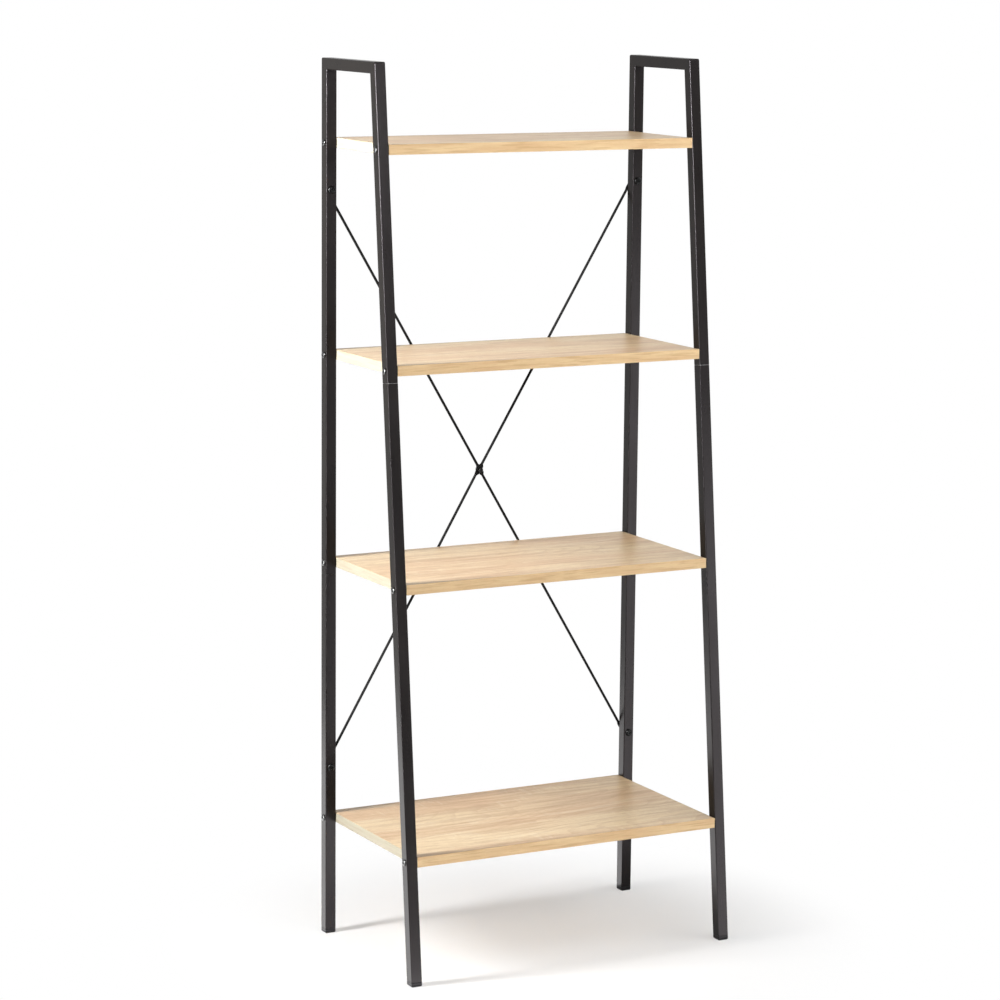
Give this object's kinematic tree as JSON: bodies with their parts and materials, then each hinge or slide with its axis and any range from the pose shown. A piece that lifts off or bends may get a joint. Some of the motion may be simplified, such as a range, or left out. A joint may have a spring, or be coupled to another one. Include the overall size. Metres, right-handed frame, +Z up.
{
  "type": "ladder shelving unit",
  "caption": "Free-standing ladder shelving unit: light oak boards between two leaning side frames of black square steel tube, with an X brace of rods across the back.",
  "frame": {"origin": "on the floor, in the middle of the unit's width and of its depth over everything", "axes": "+Z up, +X to the unit's right as seen from its front, +Y from its front to its back"},
  "size_m": [0.6054, 0.3624, 1.48],
  "materials": {
    "black_powder_coat": "satin black powder coat",
    "light_oak_board": "light oak melamine facing with a fine grain along the board",
    "light_oak_edge": "light oak edge strip, a little darker than the facing",
    "black_plastic": "moulded matt black plastic",
    "black_screw": "black oxide steel",
    "plain_steel": "uncoated steel"
  },
  "bodies": {
    "root": {"brace_bolt_lower_left": "black_screw", "brace_bolt_lower_right": "black_screw", "brace_bolt_upper_left": "black_screw", "brace_bolt_upper_right": "black_screw", "brace_centre_bolt": "black_screw", "brace_centre_nut": "black_screw", "brace_nut_lower_left": "black_screw", "brace_nut_lower_right": "black_screw", "brace_nut_upper_left": "black_screw", "brace_nut_upper_right": "black_screw", "brace_rod_lower_left": "black_powder_coat", "brace_rod_lower_right": "black_powder_coat", "brace_rod_upper_left": "black_powder_coat", "brace_rod_upper_right": "black_powder_coat", "foot_cap_front_left": "black_plastic", "foot_cap_front_right": "black_plastic", "foot_cap_rear_left": "black_plastic", "foot_cap_rear_right": "black_plastic", "front_edge_band_1": "light_oak_edge", "front_edge_band_2": "light_oak_edge", "front_edge_band_3": "light_oak_edge", "front_edge_band_4": "light_oak_edge", "lower_front_leg_left": "black_powder_coat", "lower_front_leg_right": "black_powder_coat", "lower_rear_leg_left": "black_powder_coat", "lower_rear_leg_right": "black_powder_coat", "shelf_board_1": "light_oak_board", "shelf_board_2": "light_oak_board", "shelf_board_3": "light_oak_board", "shelf_board_4": "light_oak_board", "shelf_bolt_1_front_left": "black_screw", "shelf_bolt_1_front_right": "black_screw", "shelf_bolt_1_rear_left": "black_screw", "shelf_bolt_1_rear_right": "black_screw", "shelf_bolt_2_front_left": "black_screw", "shelf_bolt_2_front_right": "black_screw", "shelf_bolt_2_rear_left": "black_screw", "shelf_bolt_2_rear_right": "black_screw", "shelf_bolt_3_front_left": "black_screw", "shelf_bolt_3_front_right": "black_screw", "shelf_bolt_3_rear_left": "black_screw", "shelf_bolt_3_rear_right": "black_screw", "shelf_bolt_4_front_left": "black_screw", "shelf_bolt_4_front_right": "black_screw", "shelf_bolt_4_rear_left": "black_screw", "shelf_bolt_4_rear_right": "black_screw", "tube_connector_front_left": "plain_steel", "tube_connector_front_right": "plain_steel", "tube_connector_rear_left": "plain_steel", "tube_connector_rear_right": "plain_steel", "upper_frame_left": "black_powder_coat", "upper_frame_right": "black_powder_coat"}
  },
  "joints": []
}
